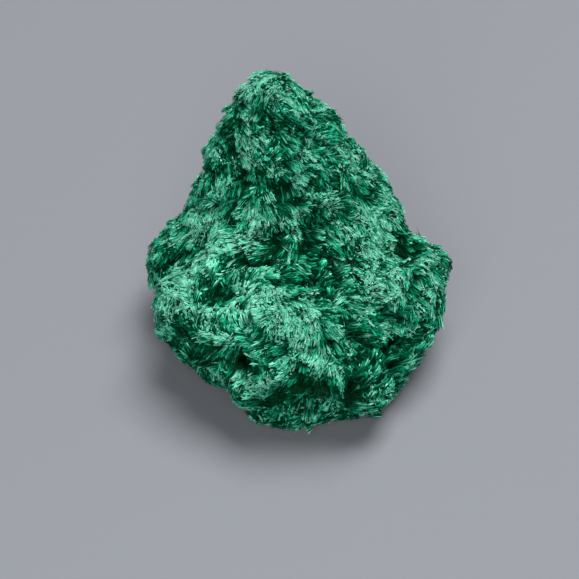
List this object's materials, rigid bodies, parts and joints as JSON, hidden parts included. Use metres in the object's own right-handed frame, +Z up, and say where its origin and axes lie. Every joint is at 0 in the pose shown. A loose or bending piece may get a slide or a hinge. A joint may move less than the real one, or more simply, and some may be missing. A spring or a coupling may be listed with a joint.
{
  "type": "malachite specimen",
  "caption": "Hand specimen of fibrous malachite: a steep peak on a broad, hollowed belly, covered all over with sprays of fine crystals, resting on a small flat face.",
  "frame": {"origin": "under the middle of the stone's bounding box, on the plane of the flat face that it rests on", "axes": "+Z up, from the resting face to the peak; -Y is the broad, sloping front that a viewer faces, and +X is to that viewer's right"},
  "size_m": [0.0722, 0.0666, 0.0598],
  "materials": {
    "malachite": "silky fibrous crystal, dark green in its gaps and mint green at its tips"
  },
  "bodies": {
    "root": {"malachite_stone": "malachite"}
  },
  "joints": []
}
